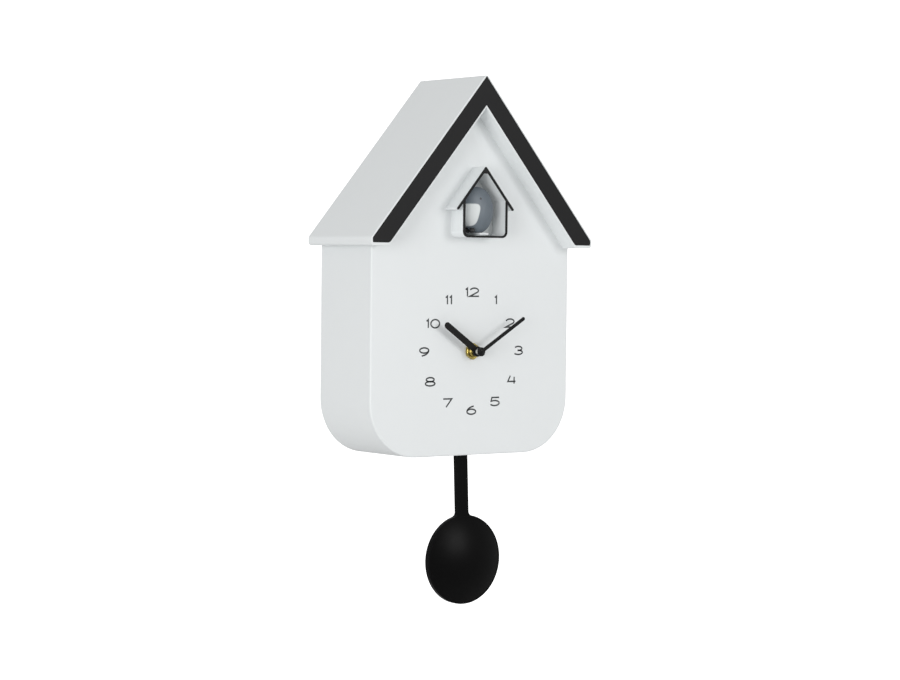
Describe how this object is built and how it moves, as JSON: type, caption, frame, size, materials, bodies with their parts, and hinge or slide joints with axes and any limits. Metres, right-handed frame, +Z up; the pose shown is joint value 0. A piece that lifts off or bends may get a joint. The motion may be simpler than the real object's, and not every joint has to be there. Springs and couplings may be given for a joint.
{
  "type": "cuckoo clock",
  "caption": "White house-shaped wall clock with a black roof chevron, a small bird that slides out over a printed dial, and a swinging disc pendulum.",
  "frame": {"origin": "centre of the round entry of the wall-hook keyhole, on the wall plane", "axes": "+X to the right seen from the front, +Y into the wall, +Z up"},
  "size_m": [0.1982, 0.0805, 0.3845],
  "materials": {
    "white_plastic": "satin moulded ABS",
    "black_plastic": "satin moulded ABS",
    "hand_black": "satin black paint on aluminium",
    "hand_cap_black": "gloss",
    "brass": "turned",
    "rubber": "matt",
    "movement_case": "fine spark-eroded texture",
    "gear_plastic": "natural acetal",
    "magnet": "ground",
    "steel": "zinc plated",
    "nickel_contact": "nickel plated",
    "copper_wire": "enamelled copper winding",
    "cell_jacket": "printed sleeve, plain",
    "circuit_board": "solder mask",
    "switch_black": "satin",
    "cone_paper": "pressed paper",
    "bird_grey": "painted satin, white breast",
    "bird_dark": "satin"
  },
  "bodies": {
    "case": {"front_case": "white_plastic", "roof_shell": "white_plastic", "roof_trim": "black_plastic", "bird_house": "white_plastic", "bird_house_trim": "black_plastic", "bird_house_back": "white_plastic", "rear_cover": "white_plastic", "case_screws": "steel", "battery_cells": "cell_jacket", "battery_contacts": "nickel_contact", "dial_bush": "brass", "dial_nut": "brass", "rubber_washer": "rubber", "movement_front": "movement_case", "movement_plate": "movement_case", "movement_back": "movement_case", "stator": "steel", "movement_coil": "copper_wire", "movement_board": "circuit_board", "pendulum_drive": "movement_case", "pendulum_pivot": "steel", "pendulum_coil": "copper_wire", "bird_guide": "gear_plastic", "bird_motor": "steel", "speaker_frame": "steel", "speaker_cone": "cone_paper", "speaker_magnet": "magnet", "main_board": "circuit_board", "board_screws": "steel", "volume_switch_body": "switch_black", "demo_switch": "switch_black"},
    "minute": {"centre_wheel": "gear_plastic", "minute_hand": "hand_black", "hand_cap": "hand_cap_black"},
    "hour": {"hour_wheel": "steel", "hour_hand": "hand_black"},
    "minute_gear": {"minute_wheel": "gear_plastic"},
    "setting": {"set_shaft": "gear_plastic", "set_knob": "white_plastic"},
    "third_gear": {"third_wheel": "gear_plastic"},
    "seconds_gear": {"seconds_wheel": "gear_plastic"},
    "rotor_gear": {"rotor": "magnet"},
    "pendulum": {"pendulum_hanger": "gear_plastic", "pendulum_magnet": "magnet", "pendulum_arm": "black_plastic", "bob_weight": "steel", "bob_back": "black_plastic"},
    "bird": {"bird_body": "bird_grey", "bird_beak": "bird_dark", "bird_feet": "bird_dark", "bird_carriage": "white_plastic"},
    "bird_gear": {"bird_pinion": "gear_plastic", "bird_wheel": "gear_plastic"},
    "motor_gear": {"motor_pinion": "gear_plastic"},
    "battery_lid": {"battery_door": "white_plastic"},
    "volume": {"volume_slider": "black_plastic"},
    "demo": {"demo_button": "black_plastic"}
  },
  "joints": [
    {"name": "minute_turn", "type": "hinge", "parent": "case", "child": "minute", "pos_m": [0, 0, -0.1518], "axis": [0, 1, 0], "continuous": true},
    {"name": "hour_turn", "type": "hinge", "parent": "case", "child": "hour", "pos_m": [0, 0, -0.1518], "axis": [0, 1, 0], "continuous": true},
    {"name": "minute_gear_turn", "type": "hinge", "parent": "case", "child": "minute_gear", "pos_m": [0, 0, -0.1638], "axis": [0, 1, 0], "continuous": true},
    {"name": "setting_turn", "type": "hinge", "parent": "case", "child": "setting", "pos_m": [0.00983, 0, -0.17068], "axis": [0, 1, 0], "continuous": true},
    {"name": "third_gear_turn", "type": "hinge", "parent": "case", "child": "third_gear", "pos_m": [-0.00721, 0, -0.14459], "axis": [0, 1, 0], "continuous": true},
    {"name": "seconds_gear_turn", "type": "hinge", "parent": "case", "child": "seconds_gear", "pos_m": [0.00125, 0, -0.14151], "axis": [0, 1, 0], "continuous": true},
    {"name": "rotor_turn", "type": "hinge", "parent": "case", "child": "rotor_gear", "pos_m": [0.00713, 0, -0.13811], "axis": [0, 1, 0], "continuous": true},
    {"name": "pendulum_swing", "type": "hinge", "parent": "case", "child": "pendulum", "pos_m": [0, -0.0488, -0.146], "axis": [0, 1, 0], "range_deg": [-1.8, 6.2]},
    {"name": "bird_slide", "type": "slide", "parent": "case", "child": "bird", "axis": [0, -1, 0], "range_m": [0, 0.014]},
    {"name": "bird_gear_turn", "type": "hinge", "parent": "case", "child": "bird_gear", "pos_m": [0, -0.0444, -0.07379], "axis": [1, 0, 0], "range_deg": [-1, 223.82]},
    {"name": "motor_turn", "type": "hinge", "parent": "case", "child": "motor_gear", "pos_m": [0, -0.03627, -0.08192], "axis": [1, 0, 0], "range_deg": [-806.14, 4]},
    {"name": "battery_lid_hinge", "type": "hinge", "parent": "case", "child": "battery_lid", "pos_m": [-0.0527, -0.0009, -0.19875], "axis": [-1, 0, 0], "range_deg": [0, 90]},
    {"name": "volume_slide", "type": "slide", "parent": "case", "child": "volume", "axis": [1, 0, 0], "range_m": [0, 0.004]},
    {"name": "demo_press", "type": "slide", "parent": "case", "child": "demo", "axis": [0, -1, 0], "range_m": [0, 0.001], "stiffness_N_per_m": 300, "springref_m": -0.0005}
  ],
  "couplings": [
    {"joint": "hour_turn", "follows": "minute_turn", "ratio": 0.083333},
    {"joint": "minute_gear_turn", "follows": "minute_turn", "ratio": -0.33333},
    {"joint": "setting_turn", "follows": "minute_turn", "ratio": 1},
    {"joint": "third_gear_turn", "follows": "minute_turn", "ratio": -7.5},
    {"joint": "seconds_gear_turn", "follows": "minute_turn", "ratio": 60},
    {"joint": "rotor_turn", "follows": "minute_turn", "ratio": -450},
    {"joint": "bird_gear_turn", "follows": "bird_slide", "rad_per_m": 277.78},
    {"joint": "motor_turn", "follows": "bird_slide", "rad_per_m": -1000}
  ]
}
